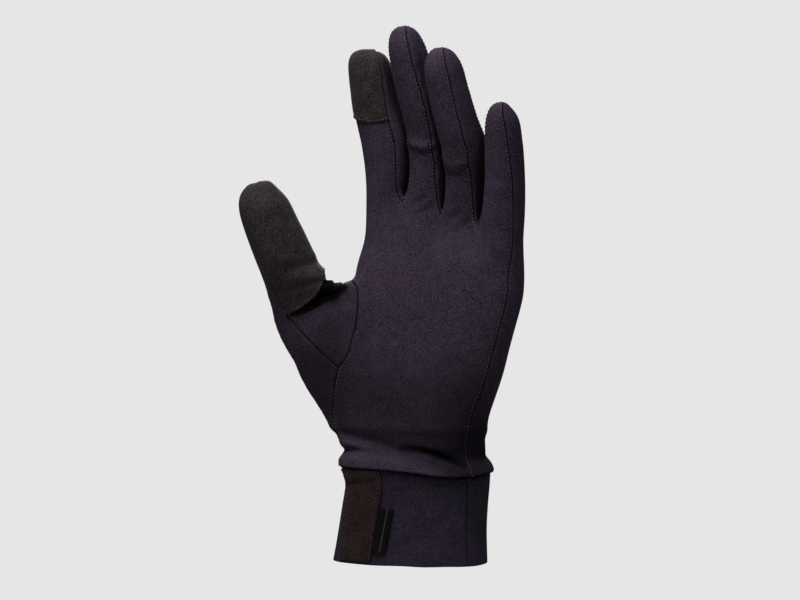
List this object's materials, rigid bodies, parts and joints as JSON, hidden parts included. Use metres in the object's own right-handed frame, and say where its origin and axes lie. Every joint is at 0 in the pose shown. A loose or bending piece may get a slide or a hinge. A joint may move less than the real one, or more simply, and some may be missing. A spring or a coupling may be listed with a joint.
{
  "type": "glove liner",
  "caption": "Thin knitted glove liner for the left hand, shown filled, with touch patches on thumb and index fingertip, side strips between the fingers and a folded cuff.",
  "frame": {"origin": "middle of the wrist opening at the cuff's lower rim", "axes": "+Z along the hand to the fingertips, -Y out of the palm, +X from the thumb towards the little finger"},
  "size_m": [0.1326, 0.0596, 0.2442],
  "materials": {
    "palm_panel": "brushed fleece knit",
    "back_panel": "brushed fleece knit",
    "fourchette_index_middle": "brushed fleece knit",
    "fourchette_middle_ring": "brushed fleece knit",
    "fourchette_ring_little": "brushed fleece knit",
    "thumb_panel": "brushed fleece knit",
    "index_touch_patch": "matt suede",
    "thumb_touch_patch": "matt suede",
    "cuff_band": "brushed fleece knit",
    "cuff_grip_strip": "suede",
    "cuff_tab": "woven tab"
  },
  "bodies": {
    "root": {"palm_panel": "palm_panel", "back_panel": "back_panel", "fourchette_index_middle": "fourchette_index_middle", "fourchette_middle_ring": "fourchette_middle_ring", "fourchette_ring_little": "fourchette_ring_little", "thumb_panel": "thumb_panel", "index_touch_patch": "index_touch_patch", "thumb_touch_patch": "thumb_touch_patch", "cuff_band": "cuff_band", "cuff_grip_strip": "cuff_grip_strip", "cuff_tab": "cuff_tab"}
  },
  "joints": []
}
